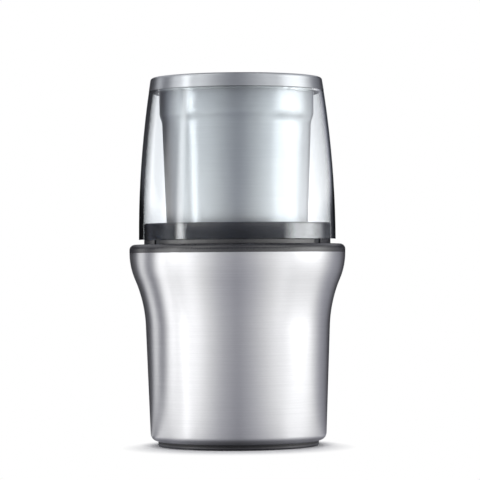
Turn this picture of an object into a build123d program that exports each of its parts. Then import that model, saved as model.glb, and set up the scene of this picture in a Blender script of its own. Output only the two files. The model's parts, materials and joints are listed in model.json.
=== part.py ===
from build123d import *
from math import acos, asin, cos, degrees, radians, sin, sqrt, tan
import os

# Electric spice grinder: a brushed steel motor base, a steel bowl with its own blade that lifts out, and a
# clear lid that starts the motor while it is pressed down. Millimetres; Z is the axis of the grinder, its
# front faces -Y, and z = 0 is the surface that it stands on.

# Clearances
run_gap = 0.05  # a shaft in its bush, all round
set_gap = 0.02  # pieces fixed on or in each other, all round
slip_gap = 0.3  # pieces that slide or drop into each other, all round

# Casing: a tapered steel shell that flares to a wide brim
wall_lean = radians(2.2)
foot_height = 2.8
casing_height = 100.2
casing_radius = 57.7
brim_reach = 8.5
waist_bend = 70.0
brim_bend = 36.0
casing_wall = 0.8
casing_corner = 4.0

# Foot ring and base plate, with the room for the wound cord below it
foot_set_in = 6.3
foot_width = 4.4
foot_tongue = 1.6
cord_room = 12.5
cord_room_round = 1.5
base_thickness = 2.5
base_lip = 1.2
base_overhang = 1.2
cord_exit_width = 9.0
cord_exit_height = 7.2
spool_depth = 10.0
spool_clear = 2.5
spool_flange = 2.0
spool_wall = 2.0
spool_lift = 1.5
vent_count = 24
vent_width = 2.4
vent_length = 4.0
vent_inset = 2.0
gland_angle = 65.0
gland_bore = 3.4
gland_radius = 5.0
gland_flange = 1.2

# Fixings
pillar_radius = 3.6
boss_wall = 1.2
screw_radius = 1.6
screw_head_radius = 3.1
screw_head = 2.2
screw_recess = 1.0
screw_bite = 9.0
collar_posts = (0.0, 120.0, 240.0)
small_screw_radius = 1.1
small_head_radius = 2.1
small_head = 1.5
nut_height = 2.4
nut_radius = 3.6

# Collar on top of the casing, with the well that the bowl stands in
collar_height = 4.5
collar_shelf = 7.9
collar_round = 2.9
collar_plate = 2.5
collar_skirt = 6.0
collar_skirt_wall = 2.0
neck_height = 2.4
neck_wall = 2.5
well_depth = 5.9
coupling_well_radius = 14.0
coupling_well_depth = 8.5
coupling_well_wall = 2.0

# Bowl and the ring under it
ring_height = 8.7
ring_round = 0.9
ring_web = 2.4
ring_wall = 2.2
ring_seat = 2.5
seat_depth = 6.1
spigot_depth = 5.3
key_angles = (-57.6, 57.6)
key_width = 5.4
key_inset = 0.6
ring_shelf = 8.6
bowl_swell = 1.45
bowl_bend = 10.0
bowl_depth = 78.1
bowl_brim = 12.6
bowl_wall = 0.8
bowl_corner = 6.0

# Blade set
blade_shaft_radius = 3.0
blade_clear = 11.75
blade_width = 11.0
blade_tip_width = 4.4
blade_thickness = 1.3
blade_bend_at = 12.0
blade_bend = 22.0
blade_spacer_height = 2.0
blade_nut_height = 4.6
blade_nut_radius = 5.0
blade_nut_crown = 1.0
bush_radius = 6.6
bush_flange_radius = 9.0
bush_flange = 1.5
bush_washer = 0.8
bush_nut_radius = 10.0
bush_nut_height = 3.4

# Drive couplings
coupling_radius = 11.0
coupling_disc = 2.8
coupling_dogs = 3
dog_height = 3.5
dog_angle = 50.0
dog_inner_radius = 5.6
dog_tip_gap = 0.5
socket_floor = 0.8
coupling_lift = 0.5

# Lid
lid_curve = 542.0
lid_wall = 2.25
lid_slip = 0.6
lid_gap = 2.5
lid_travel = 2.2
cap_height = 7.2
cap_wall = 0.8
cap_round = 1.6
lid_headroom = 5.7
lid_plate = 1.8
lid_ledge_drop = 1.1
lid_tab_width = 7.2
lid_tab_height = 3.5
lid_screw_inset = 19.2
lid_screw_radius = 1.4
lid_boss_radius = 3.3
seal_plate = 2.0
seal_drop = 4.4
seal_lip = 0.6
seal_width = 1.9
seal_groove = 0.9

# Switch gear at the back
stem_width = 6.0
tab_play = 0.1
pocket_floor = 2.4
pocket_wall = 1.2
pocket_spare = 1.6
plunger_foot = 2.0
switch_inset = 3.3
switch_turn = 20.0
switch_length = 20.0
switch_width = 6.4
switch_height = 10.0
lever_arm = 23.0
lever_thickness = 0.4
lever_width = 4.0
lever_rise = 9.0
lever_pivot_inset = 1.0
lever_pivot_lift = 1.2
lever_pin_radius = 0.6
lever_eye_wall = 0.35
button_radius = 1.0
button_at = 5.0
button_depth = 2.0

# Chassis
chassis_plate = 3.0
chassis_hole = 15.0
switch_wall = 2.2
switch_thread = 0.8

# Motor
shaft_radius = 3.0
motor_room = 0.5
motor_lift = 28.0
motor_drop = 11.0
stator_trim = 2.0
stator_yoke = 6.0
pole_depth = 6.8
air_gap = 0.6
rotor_slots = 12
slot_width = 2.6
slot_depth = 6.0
coil_overhang = 4.8
coil_start = 15.0
coil_leg = 25.0
winding_set_in = 1.2
winding_overhang = 4.4
commutator_set_in = 7.2
commutator_height = 9.5
commutator_bars = 24
bar_gap = 0.6
bar_depth = 1.0
bearing_radius = 6.4
bearing_height = 7.0
bracket_plate = 2.5
bracket_width = 15.0
bracket_leg = 4.0
bracket_wall = 3.0
brush_side = 6.0
brush_length = 11.0
holder_wall = 1.4
holder_length = 16.4
fan_clear = 2.5
fan_blades = 9
fan_height = 6.0
fan_disc = 1.4
fan_hub_radius = 6.2
fan_blade_offset = 4.0
fan_blade_thickness = 1.2
mount_radius = 5.0
mount_height = 3.0

# Springs
wire_radius = 0.28
brush_spring_radius = 2.0
spring_seat = 0.3

# Electrical parts
capacitor_width = 16.0
capacitor_depth = 8.0
capacitor_height = 15.0
capacitor_angle = 198.0
terminal_width = 12.0
terminal_depth = 8.0
terminal_height = 9.0
terminal_angle = 154.0
terminal_hole_radius = 1.6
terminal_hole_depth = 2.0
electrics_inset = 3.0
lead_radius = 0.9
lead_bend = 2.0
lead_run = 6.0
tag_length = 4.0
tag_levels = (0.25, 0.72)

# Levels and radii worked out from the sizes
casing_bottom = foot_height
casing_top = casing_bottom + casing_height
waist_radius = casing_radius - brim_reach
foot_radius = waist_radius - foot_set_in
base_top = cord_room + base_thickness
cord_room_radius = foot_radius - foot_width
base_rim_radius = foot_radius - base_overhang
lip_bottom = casing_bottom - base_lip
pillar_circle = cord_room_radius - screw_head_radius - slip_gap
base_screw_seat = lip_bottom + screw_recess + screw_head
base_boss_radius = screw_head_radius + slip_gap + boss_wall
spool_flange_radius = pillar_circle - base_boss_radius - spool_clear
spool_radius = spool_flange_radius - spool_depth
electrics_circle = cord_room_radius - electrics_inset
gland_circle = cord_room_radius - gland_radius - gland_flange - cord_room_round - slip_gap
vent_inner_radius = spool_radius + vent_inset
vent_outer_radius = vent_inner_radius + vent_length
collar_top = casing_top + collar_height
neck_top = collar_top + neck_height
deck_top = neck_top - well_depth
deck_bottom = deck_top - collar_plate
coupling_floor = deck_top - coupling_well_depth
coupling_well_bottom = coupling_floor - coupling_well_wall
ring_radius = casing_radius - collar_shelf
lid_radius = ring_radius + lid_slip + lid_wall
well_radius = ring_radius - neck_wall
ring_top = neck_top + ring_height
bowl_bottom = ring_top - seat_depth
bowl_floor = bowl_bottom + bowl_wall
bowl_rim = bowl_bottom + bowl_depth
bowl_rim_radius = ring_radius - ring_shelf
bowl_waist_radius = bowl_rim_radius - bowl_swell
blade_reach = bowl_waist_radius - blade_clear
spigot_radius = well_radius - slip_gap
lid_bottom = collar_top + lid_gap
lid_top = bowl_rim + lid_headroom
cap_bottom = lid_top - cap_height
cap_under = lid_top - cap_wall
lid_under = cap_under - lid_plate
lid_ledge = cap_bottom - lid_ledge_drop
lid_screw_circle = bowl_rim_radius - lid_screw_inset
tab_bottom = lid_bottom - lid_tab_height
pocket_bottom = tab_bottom - tab_play - lid_travel - pocket_floor - pocket_spare
switch_circle = ring_radius - switch_inset
lever_height = lever_arm * sin(radians(lever_rise)) + lever_thickness / 2 * cos(radians(lever_rise))
plunger_bottom = pocket_bottom - run_gap - plunger_foot
chassis_top = plunger_bottom - tab_play - lever_height - lever_pivot_lift - switch_height
chassis_level = chassis_top - chassis_plate
stator_bottom = base_top + motor_lift
stator_top = chassis_level - motor_drop
stator_radius = pillar_circle - pillar_radius - motor_room
stator_flat = stator_radius - stator_trim
coil_radius = stator_radius - stator_yoke
rotor_radius = coil_radius - pole_depth
winding_radius = rotor_radius - winding_set_in
commutator_radius = rotor_radius - commutator_set_in
fan_radius = pillar_circle - pillar_radius - fan_clear
drive_bottom = coupling_floor + coupling_lift
drive_face = drive_bottom + coupling_disc
driven_face = drive_face + dog_height + dog_tip_gap
driven_top = driven_face + coupling_disc
seal_bottom = bowl_rim - seal_drop
motor_screw_at = (coil_radius + stator_radius) / 2


# Outlines of the casing, the bowl and the lid
def flare(waist, top_radius, top, low_bend, top_bend, inset=0.0):
    """A wall's outline from its waist, where it leans out a little, to its upright top, moved in by inset."""
    steepest = acos((low_bend * cos(wall_lean) + top_bend - (top_radius - waist)) / (low_bend + top_bend))
    waist_level = top - low_bend * (sin(steepest) - sin(wall_lean)) - top_bend * sin(steepest)
    low_centre = (waist + low_bend * cos(wall_lean), waist_level - low_bend * sin(wall_lean))
    top_centre = (top_radius - top_bend, top)

    def low(angle):
        reach = low_bend + inset
        return (low_centre[0] - reach * cos(angle), low_centre[1] + reach * sin(angle))

    def high(angle):
        reach = top_bend - inset
        return (top_centre[0] + reach * cos(angle), top_centre[1] - reach * sin(angle))

    return (low(wall_lean), low((wall_lean + steepest) / 2), low(steepest), high(steepest / 2), high(0.0))


def wall_down_to(level, waist_point):
    """The point of the leaning wall at level, straight down from its waist."""
    return (waist_point[0] - (waist_point[1] - level) * tan(wall_lean), level)


def casing_flare(inset):
    return flare(waist_radius, casing_radius, casing_top, waist_bend, brim_bend, inset)


def casing_reach(level, inset):
    """The radius of the casing's wall at a level."""
    waist, _, bend, _, _ = casing_flare(inset)
    if level <= waist[1]:
        return wall_down_to(level, waist)[0]
    if level <= bend[1]:
        centre_level = waist[1] - (waist_bend + inset) * sin(wall_lean)
        reach = sqrt((waist_bend + inset) ** 2 - (level - centre_level) ** 2)
        return waist_radius + waist_bend * cos(wall_lean) - reach
    return casing_radius - brim_bend + sqrt((brim_bend - inset) ** 2 - (casing_top - level) ** 2)


def lid_reach(level, inset=0.0):
    """The radius of the lid's curved side at a level."""
    return lid_radius - lid_curve + sqrt((lid_curve - inset) ** 2 - (level - lid_bottom) ** 2)


def lid_side(low, high, inset=0.0):
    middle = (low + high) / 2
    return ThreePointArc(*[(lid_reach(level, inset), level) for level in (low, middle, high)])


# Solids that most pieces are made of
def spun(face, sweep=360.0, start=0.0):
    return Rot(0, 0, start) * revolve(Plane.XZ * face, Axis.Z, sweep)


def rounded(face, corners):
    for radius, level, bend in corners:
        face = fillet(face.vertices().sort_by_distance(Vector(radius, level, 0))[0], bend)
    return face


def turned(*corners, sweep=360.0, start=0.0):
    """A solid turned about Z from (radius, level) corners, some with the radius of their rounding."""
    points = [corner[:2] for corner in corners]
    bends = [corner[2] if len(corner) > 2 else 0 for corner in corners]
    if any(bends):
        outline = FilletPolyline(*points, radius=bends, close=True)
    else:
        outline = Polyline(*points, close=True)
    return spun(make_face(outline), sweep, start)


def tube(inner, outer, low, high, sweep=360.0, start=0.0):
    return turned((inner, low), (outer, low), (outer, high), (inner, high), sweep=sweep, start=start)


def rod(radius, low, high, x=0.0, y=0.0):
    return Pos(x, y, (low + high) / 2) * Cylinder(radius, high - low)


def block(x, y, z):
    """A box between two values on each axis."""
    middle = [(a + b) / 2 for a, b in (x, y, z)]
    return Pos(*middle) * Box(x[1] - x[0], y[1] - y[0], z[1] - z[0])


def round_about(radius, count, start=0.0):
    angles = [radians(start + 360 / count * i) for i in range(count)]
    return [(radius * cos(angle), radius * sin(angle)) for angle in angles]


def hexagon_nut(radius, bore, low, high, x=0.0, y=0.0):
    return Pos(x, y, low) * extrude(RegularPolygon(radius, 6) - Circle(bore), high - low)


def screw(radius, head_radius, head, length):
    """A cross-head screw that points up, with the seat of its head at z = 0."""
    body = rod(radius, 0, length) + Pos(0, 0, -head / 2) * Cylinder(head_radius, head)
    slot = Box(1.3 * head_radius, 0.25 * head_radius, head)
    cross = Pos(0, 0, -head) * (slot + Rot(0, 0, 90) * slot)
    return body - cross


def coil_spring(radius, low, high, turns):
    pitch = (high - low - 2 * wire_radius) / turns
    path = Pos(0, 0, low + wire_radius) * Helix(pitch, pitch * turns, radius)
    section = Plane(path @ 0, z_dir=path % 0) * Circle(wire_radius)
    return sweep(section, path, is_frenet=True)


def one_of(shapes):
    return Compound(children=list(shapes))


# Motor base
def housing_shell():
    outer = casing_flare(0.0)
    inner = casing_flare(casing_wall)
    floor = casing_bottom + casing_wall
    foot_out = wall_down_to(casing_bottom, outer[0])
    foot_in = wall_down_to(floor, inner[0])
    hole = base_rim_radius + slip_gap
    face = make_face(
        [
            Line((hole, casing_bottom), foot_out),
            Line(foot_out, outer[0]),
            ThreePointArc(*outer[:3]),
            ThreePointArc(*outer[2:]),
            Line(outer[4], inner[4]),
            ThreePointArc(*reversed(inner[2:])),
            ThreePointArc(*reversed(inner[:3])),
            Line(inner[0], foot_in),
            Line(foot_in, (hole, floor)),
            Line((hole, floor), (hole, casing_bottom)),
        ]
    )
    shell = spun(rounded(face, [(*foot_out, casing_corner), (*foot_in, casing_corner - casing_wall)]))
    return shell - cord_exit(casing_reach(casing_bottom, 0) + 1)


def cord_exit(reach):
    """The arch at the back that the cord leaves through."""
    half = cord_exit_width / 2
    straight = cord_exit_height - half
    inside = cord_room_radius - foot_width
    upright = block((-half, half), (inside, reach), (-1, straight))
    arch = Pos(0, (inside + reach) / 2, straight) * Rot(90, 0, 0) * Cylinder(half, reach - inside)
    return upright + arch


def foot_groove_radius():
    """The middle of the groove that the foot ring's tongue is pressed into."""
    return (cord_room_radius + base_rim_radius) / 2


def base_plate():
    plate = turned(
        (0, cord_room),
        (cord_room_radius, cord_room, cord_room_round),
        (cord_room_radius, lip_bottom),
        (foot_radius, lip_bottom),
        (foot_radius, casing_bottom),
        (base_rim_radius, casing_bottom),
        (base_rim_radius, base_top),
        (0, base_top),
    )
    for x, y in round_about(pillar_circle, 4, 45):
        plate += rod(base_boss_radius, lip_bottom, base_top, x, y)
    for x, y in round_about(pillar_circle, 4, 45):
        plate -= rod(screw_head_radius + slip_gap, lip_bottom - 1, base_screw_seat, x, y)
        plate -= rod(screw_radius + run_gap, lip_bottom - 1, base_top + 1, x, y)
    middle = foot_groove_radius()
    half = foot_tongue / 2 + set_gap
    plate -= tube(middle - half, middle + half, lip_bottom - 1, lip_bottom + foot_tongue)
    vent = spun(
        Pos((vent_inner_radius + vent_outer_radius) / 2, base_top - base_thickness / 2)
        * Rectangle(vent_length, base_thickness + 2),
        degrees(vent_width / vent_outer_radius),
    )
    plate -= [Rot(0, 0, 360 / vent_count * i) * vent for i in range(vent_count)]
    for x, y in round_about(spool_radius / 2, 2):
        plate -= rod(small_screw_radius + run_gap, cord_room - 1, base_top + 1, x, y)
    x, y = round_about(gland_circle, 1, gland_angle)[0]
    plate -= rod(gland_radius + set_gap, cord_room - 1, base_top + 1, x, y)
    return plate - cord_exit(foot_radius + 1)


def foot_ring():
    middle = foot_groove_radius()
    half = foot_tongue / 2
    tongue_top = lip_bottom + foot_tongue - slip_gap
    ring = turned(
        (cord_room_radius, 0, 0.6),
        (foot_radius, 0, 0.8),
        (foot_radius, lip_bottom),
        (middle + half, lip_bottom),
        (middle + half, tongue_top),
        (middle - half, tongue_top),
        (middle - half, lip_bottom),
        (cord_room_radius, lip_bottom),
    )
    return ring - cord_exit(foot_radius + 1)


def cord_spool():
    """The bobbin under the base plate that the spare cord is wound on."""
    low = spool_lift
    spool = turned(
        (0, cord_room - spool_wall),
        (spool_radius - spool_wall, cord_room - spool_wall),
        (spool_radius - spool_wall, low),
        (spool_flange_radius, low, 0.6),
        (spool_flange_radius, low + spool_flange, 0.6),
        (spool_radius, low + spool_flange),
        (spool_radius, cord_room),
        (0, cord_room),
    )
    for x, y in round_about(spool_radius / 2, 2):
        spool -= rod(small_screw_radius + run_gap, cord_room - spool_wall - 1, cord_room + 1, x, y)
    return spool


def spool_screws():
    length = spool_wall + base_thickness
    one = screw(small_screw_radius, small_head_radius, small_head, length)
    return one_of(Pos(x, y, cord_room - spool_wall) * one for x, y in round_about(spool_radius / 2, 2))


def cord_gland():
    x, y = round_about(gland_circle, 1, gland_angle)[0]
    return Pos(x, y, 0) * turned(
        (gland_bore, cord_room - gland_flange, 0.4),
        (gland_radius + gland_flange, cord_room - gland_flange, 0.4),
        (gland_radius + gland_flange, cord_room),
        (gland_radius, cord_room),
        (gland_radius, base_top),
        (gland_radius + gland_flange, base_top),
        (gland_radius + gland_flange, base_top + gland_flange, 0.4),
        (gland_bore, base_top + gland_flange, 0.4),
    )


def base_screws():
    one = screw(screw_radius, screw_head_radius, screw_head, base_top - base_screw_seat + screw_bite)
    return one_of(Pos(x, y, base_screw_seat) * one for x, y in round_about(pillar_circle, 4, 45))


def tab_block(gap, low, high, width):
    """The room of the lid's tab, or of the stem under it, widened by a gap."""
    half = width / 2 + gap
    inner = lid_radius - lid_wall - gap
    ring = tube(inner, lid_radius + gap, low, high)
    return ring & block((-half, half), (inner - 1, lid_radius + gap + 1), (low, high))


def collar():
    skirt_low = casing_top - collar_skirt
    skirt = casing_reach(skirt_low, casing_wall) - slip_gap
    skirt_in = skirt - collar_skirt_wall
    plate_low = collar_top - collar_plate
    shaft_hole = coupling_hub_radius() + slip_gap
    body = turned(
        (shaft_hole, coupling_well_bottom),
        (coupling_well_radius + coupling_well_wall, coupling_well_bottom),
        (coupling_well_radius + coupling_well_wall, deck_bottom),
        (ring_radius, deck_bottom),
        (ring_radius, plate_low),
        (skirt_in, plate_low),
        (skirt_in, skirt_low),
        (skirt, skirt_low),
        (skirt, casing_top),
        (casing_radius, casing_top),
        (casing_radius, collar_top, collar_round),
        (ring_radius, collar_top),
        (ring_radius, neck_top, 0.3),
        (well_radius, neck_top, 0.3),
        (well_radius, deck_top),
        (coupling_well_radius, deck_top, 0.8),
        (coupling_well_radius, coupling_floor),
        (shaft_hole, coupling_floor),
    )
    body += tab_block(pocket_wall, pocket_bottom, plate_low + 1, lid_tab_width)
    for x, y in post_places():
        body += rod(pillar_radius, chassis_top, deck_bottom + 0.5, x, y)
        body -= rod(screw_radius + run_gap, chassis_top - 1, chassis_top + screw_bite + 1, x, y)
    body -= tab_block(slip_gap, pocket_bottom + pocket_floor, collar_top + 1, lid_tab_width)
    body -= tab_block(run_gap, pocket_bottom - 1, collar_top, stem_width)
    for angle in key_angles:
        body -= key(angle, slip_gap, deck_top, neck_top + 1, ring_radius - key_inset + slip_gap)
        body -= key(angle, slip_gap, collar_top, neck_top + 1, ring_radius + 1)
    return body


def post_places():
    """Where the posts stand that carry the collar on the chassis."""
    return [round_about(pillar_circle, 1, angle)[0] for angle in collar_posts]


def key(angle, gap, low, high, reach):
    """One of the keys that stop the bowl turning, at an angle from the front."""
    half = key_width / 2 + gap
    return Rot(0, 0, angle) * block((-half, half), (-reach, -spigot_radius + 1.0), (low, high))


def chassis():
    reach = casing_reach(chassis_level, casing_wall) - slip_gap
    body = tube(chassis_hole, reach, chassis_level, chassis_top)
    for x, y in round_about(pillar_circle, 4, 45):
        body += rod(pillar_radius, base_top, chassis_level + 0.5, x, y)
    for x, y in round_about(pillar_circle, 4, 45):
        body -= rod(screw_radius + run_gap, base_top - 1, base_top + screw_bite + 1, x, y)
    for x, y in post_places() + [(0, -motor_screw_at), (0, motor_screw_at)]:
        body -= rod(screw_radius + run_gap, chassis_level - 1, chassis_top + 1, x, y)
    for start in lead_starts():
        body -= rod(lead_radius + slip_gap, chassis_level - 1, chassis_top + 1, start.X, start.Y)
    inner = switch_circle - switch_width / 2
    upright = block(
        (-switch_length / 2, switch_length / 2),
        (inner - switch_wall, inner),
        (chassis_top - 0.5, chassis_top + switch_height - 1),
    )
    body += Rot(0, 0, switch_turn) * upright
    for u in (-switch_length / 4, switch_length / 4):
        body -= switch_bore(u, inner - switch_wall - switch_thread, inner + 1)
    return body


def collar_screws():
    one = screw(screw_radius, screw_head_radius, screw_head, chassis_plate + screw_bite)
    return one_of(Pos(x, y, chassis_level) * one for x, y in post_places())


# Switch gear
def at_switch(shape):
    return Rot(0, 0, switch_turn) * shape


def switch_bore(u, inner, outer):
    level = chassis_top + switch_height / 2
    return at_switch(
        Pos(u, (inner + outer) / 2, level)
        * Rot(90, 0, 0)
        * Cylinder(small_screw_radius + run_gap, outer - inner)
    )


def microswitch():
    half = switch_width / 2
    body = block(
        (-switch_length / 2, switch_length / 2),
        (switch_circle - half, switch_circle + half),
        (chassis_top, chassis_top + switch_height),
    )
    body = fillet(body.edges().filter_by(Axis.Y), 0.6)
    pivot_u, pivot_level = lever_pivot()
    ears = block(
        (pivot_u - 1, pivot_u + 1),
        (switch_circle - half, switch_circle + half),
        (chassis_top + switch_height - 0.5, pivot_level + 1.2),
    )
    slot = block(
        (pivot_u - 2, pivot_u + 2),
        (switch_circle - lever_width / 2 - 0.2, switch_circle + lever_width / 2 + 0.2),
        (chassis_top + switch_height, pivot_level + 2),
    )
    pin = Rot(90, 0, 0) * Cylinder(lever_pin_radius, switch_width)
    pin = Pos(pivot_u, switch_circle, pivot_level) * pin
    body = body + (ears - slot) + pin
    body -= rod(
        button_radius + run_gap,
        chassis_top + switch_height - button_depth,
        pivot_level + 2,
        pivot_u + button_at,
        switch_circle,
    )
    body = at_switch(body)
    for u in (-switch_length / 4, switch_length / 4):
        body -= switch_bore(u, switch_circle - switch_width, switch_circle + switch_width)
    return body


def lever_pivot():
    """How far along the switch the lever's pin lies, and its level."""
    return (-switch_length / 2 + lever_pivot_inset, chassis_top + switch_height + lever_pivot_lift)


def switch_lever():
    pivot_u, pivot_level = lever_pivot()
    strip = Pos(lever_arm / 2, 0, 0) * Box(lever_arm, lever_width, lever_thickness)
    eye = Rot(90, 0, 0) * Cylinder(lever_pin_radius + lever_eye_wall, lever_width)
    lever = strip + eye - Rot(90, 0, 0) * Cylinder(lever_pin_radius + run_gap, lever_width + 1)
    return at_switch(Pos(pivot_u, switch_circle, pivot_level) * Rot(0, -lever_rise, 0) * lever)


def switch_button():
    pivot_u, pivot_level = lever_pivot()
    rise = (button_at - button_radius) * tan(radians(lever_rise))
    under_lever = pivot_level + rise - lever_thickness / 2 / cos(radians(lever_rise)) - run_gap
    low = chassis_top + switch_height - button_depth + button_drop() + run_gap
    return at_switch(rod(button_radius, low, under_lever, pivot_u + button_at, switch_circle))


def lever_swing():
    """How far the lever turns, in radians, while the lid goes all the way down."""
    rest = radians(lever_rise)
    return rest - asin(sin(rest) - lid_travel / lever_arm)


def button_drop():
    rest = radians(lever_rise)
    return button_at * (tan(rest) - tan(rest - lever_swing()))


def switch_terminals():
    tag = block((-tag_length, 0.0), (-0.4, 0.4), (-1.6, 1.6))
    tag -= Pos(-0.6 * tag_length, 0, 0) * Rot(90, 0, 0) * Cylinder(0.6, 2)
    end = -switch_length / 2
    return one_of(at_switch(Pos(end, switch_circle, level) * tag) for level in tag_heights())


def tag_heights():
    return [chassis_top + switch_height * share for share in tag_levels]


def switch_screws():
    length = switch_width + switch_wall - set_gap
    one = Rot(90, 0, 0) * screw(small_screw_radius, small_head_radius, small_head, length)
    level = chassis_top + switch_height / 2
    outer = switch_circle + switch_width / 2
    return one_of(at_switch(Pos(u, outer, level) * one) for u in (-switch_length / 4, switch_length / 4))


def lever_tip():
    """Where the highest point of the lever's free end lies, as x and y."""
    rise = radians(lever_rise)
    u = lever_pivot()[0] + lever_arm * cos(rise) - lever_thickness / 2 * sin(rise)
    turn = radians(switch_turn)
    return (u * cos(turn) - switch_circle * sin(turn), u * sin(turn) + switch_circle * cos(turn))


def spring_radius():
    return lever_width / 2


def spring_place():
    """The plunger's spring stands beside the lever's free end."""
    tip_x, tip_y = lever_tip()
    return (tip_x + lever_width / 2 + spring_radius() + 1.2, tip_y - 0.5)


def switch_plunger():
    """The stem under the lid's tab, with the foot that presses the lever and stands on the spring."""
    tip_x, tip_y = lever_tip()
    spring_x, spring_y = spring_place()
    stem = tab_block(-run_gap, plunger_bottom, tab_bottom - tab_play, stem_width)
    foot = block(
        (tip_x - lever_width / 2, spring_x + spring_radius() + wire_radius + spring_seat),
        (tip_y - lever_width, lid_radius - lid_wall + 1),
        (plunger_bottom, pocket_bottom - run_gap),
    )
    peg_radius = spring_radius() - wire_radius - spring_seat
    peg = rod(peg_radius, plunger_bottom - 2, plunger_bottom + 0.5, spring_x, spring_y)
    return stem + foot + peg


def plunger_spring():
    x, y = spring_place()
    return Pos(x, y, 0) * coil_spring(spring_radius(), chassis_top + run_gap, plunger_bottom, 6)


# Motor
def stator_core():
    low, high = stator_bottom, stator_top
    core = rod(stator_radius, low, high) & block(
        (-stator_flat, stator_flat), (-stator_radius, stator_radius), (low, high)
    )
    core -= rod(rotor_radius + air_gap, low - 1, high + 1)
    half = coil_start + coil_leg + 2
    for start in (-half, 180 - half):
        core -= tube(rotor_radius, coil_radius + slip_gap, low - 1, high + 1, 2 * half, start)
    for y in (-motor_screw_at, motor_screw_at):
        core -= rod(screw_radius + run_gap, low - 1, high + 1, 0, y)
    return core


def field_coils():
    inner = rotor_radius + air_gap + 0.5
    whole = 180 - 2 * coil_start
    gap = whole - 2 * coil_leg
    low = stator_bottom - coil_overhang
    high = stator_top + coil_overhang
    outline = turned(
        (inner, low, 1.2), (coil_radius, low, 1.2), (coil_radius, high, 1.2), (inner, high, 1.2),
        sweep=whole, start=coil_start,
    )
    pole_low = stator_bottom - slip_gap
    pole_high = stator_top + slip_gap
    coil = outline - tube(inner - 1, coil_radius + 1, pole_low, pole_high, gap, coil_start + coil_leg)
    return one_of([coil, Rot(0, 0, 180) * coil])


def armature_core():
    core = rod(rotor_radius, stator_bottom, stator_top) - rod(
        shaft_radius + set_gap, stator_bottom - 1, stator_top + 1
    )
    return core - slots(0.0, stator_bottom - 1, stator_top + 1)


def slots(gap, low, high):
    """The slots of the armature, or with a gap the wire that fills them."""
    one = block(
        (rotor_radius - slot_depth + gap, rotor_radius - gap + (0 if gap else 1)),
        (-slot_width / 2 + gap, slot_width / 2 - gap),
        (low, high),
    )
    return Part() + [Rot(0, 0, 360 / rotor_slots * i) * one for i in range(rotor_slots)]


def armature_windings():
    rings = Part()
    for low, high in (
        (stator_bottom - winding_overhang, stator_bottom - set_gap),
        (stator_top + set_gap, stator_top + winding_overhang),
    ):
        rings += turned(
            (shaft_radius + 2, low, 1.5), (winding_radius, low, 1.5), (winding_radius, high, 1.5),
            (shaft_radius + 2, high, 1.5),
        )
    return rings + slots(2 * set_gap, stator_bottom - 1, stator_top + 1)


def commutator():
    high = stator_bottom - winding_overhang - 0.6
    low = high - commutator_height
    body = tube(shaft_radius + set_gap, commutator_radius, low, high)
    reach = (commutator_radius - bar_depth, commutator_radius + 1)
    cut = block(reach, (-bar_gap / 2, bar_gap / 2), (low - 1, high + 1))
    return body - [Rot(0, 0, 360 / commutator_bars * i) * cut for i in range(commutator_bars)]


def brush_level():
    return stator_bottom - winding_overhang - 0.6 - commutator_height / 2


def lower_bearing_bottom():
    return base_top + 2.5


def motor_shaft():
    low = lower_bearing_bottom() - 0.5
    return chamfer(rod(shaft_radius, low, drive_face - 0.3).edges().filter_by(GeomType.CIRCLE), 0.4)


def bearing_at(low):
    return tube(shaft_radius + run_gap, bearing_radius, low, low + bearing_height)


def upper_bearing_bottom():
    return chassis_level - mount_height - bracket_plate


def lower_bracket():
    low = lower_bearing_bottom()
    boss_radius = bearing_radius + set_gap + bracket_wall
    reach = motor_screw_at + bracket_leg / 2
    holder_low = brush_level() - brush_side / 2 - holder_wall
    half = bracket_width / 2
    body = rod(boss_radius, low, low + bearing_height)
    body += block((-half, half), (-reach, reach), (low, low + bracket_plate))
    for side in (-1, 1):
        y = sorted((side * (reach - bracket_leg), side * reach))
        body += block((-half, half), y, (low, stator_bottom))
        x = sorted((side * bearing_radius, side * (commutator_radius + holder_length)))
        body += block(x, (-half + 2, half - 2), (low, low + bracket_plate))
        x = sorted((side * (commutator_radius + 3), side * (commutator_radius + holder_length)))
        body += block(x, (-half + 3, half - 3), (low, holder_low))
    body -= rod(bearing_radius + set_gap, low - 1, low + bearing_height + 1)
    for y in (-motor_screw_at, motor_screw_at):
        body -= rod(screw_radius + run_gap, low - 1, stator_bottom + 1, 0, y)
    return body


def upper_bracket():
    low = upper_bearing_bottom()
    boss_radius = bearing_radius + set_gap + bracket_wall
    reach = motor_screw_at + bracket_leg / 2
    half = bracket_width / 2
    body = rod(boss_radius, low, low + bearing_height)
    body += block((-half, half), (-reach, reach), (low, low + bracket_plate))
    for side in (-1, 1):
        y = sorted((side * (reach - bracket_leg), side * reach))
        body += block((-half, half), y, (stator_top, low + bracket_plate))
    body -= rod(bearing_radius + set_gap, low - 1, low + bearing_height + 1)
    for y in (-motor_screw_at, motor_screw_at):
        body -= rod(screw_radius + run_gap, stator_top - 1, low + bracket_plate + 1, 0, y)
    return body


def motor_screws():
    low = lower_bearing_bottom()
    one = screw(screw_radius, screw_head_radius, screw_head, chassis_top + nut_height + 0.8 - low)
    return one_of(Pos(0, y, low) * one for y in (-motor_screw_at, motor_screw_at))


def motor_nuts():
    high = chassis_top + nut_height
    return one_of(
        hexagon_nut(nut_radius, screw_radius + set_gap, chassis_top, high, 0, y)
        for y in (-motor_screw_at, motor_screw_at)
    )


def motor_mounts():
    low = chassis_level - mount_height
    one = tube(screw_radius + slip_gap, mount_radius, low, chassis_level)
    return one_of(Pos(0, y, 0) * one for y in (-motor_screw_at, motor_screw_at))


def sideways(shape):
    """Two copies of a shape, out along +X and -X."""
    return one_of([shape, Rot(0, 0, 180) * shape])


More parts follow.
